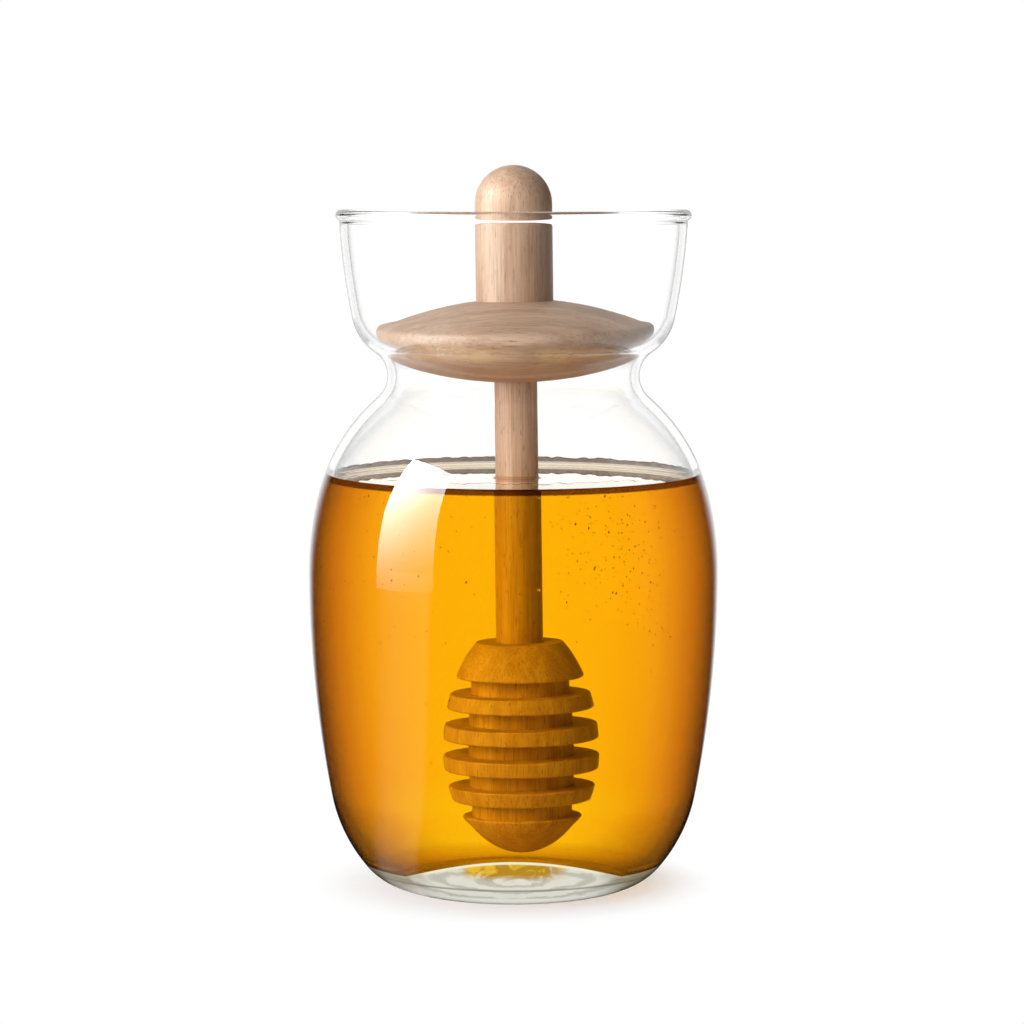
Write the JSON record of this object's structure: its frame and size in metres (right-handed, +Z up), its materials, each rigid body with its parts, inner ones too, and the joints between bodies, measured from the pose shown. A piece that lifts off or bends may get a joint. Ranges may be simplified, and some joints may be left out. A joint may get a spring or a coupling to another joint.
{
  "type": "honey jar with dipper",
  "caption": "A clear glass jar with a cup-shaped neck, filled with honey, closed by a turned wooden lid whose handle carries a dipper that stands in the honey.",
  "frame": {"origin": "middle of the jar's base, on the surface it stands on", "axes": "+Z up along the jar's axis, +X to the right and +Y to the back as seen from the front"},
  "size_m": [0.0852, 0.0852, 0.15],
  "materials": {
    "glass": "clear polished glass",
    "honey": "clear amber-yellow honey",
    "lid_wood": "turned beech, plain, grain across",
    "handle_wood": "turned beech, plain, grain along",
    "dipper_wood": "turned beech, plain, grain along"
  },
  "bodies": {
    "root": {"glass_jar": "glass", "honey": "honey", "lid_disc": "lid_wood", "handle": "handle_wood", "dipper": "dipper_wood"}
  },
  "joints": []
}
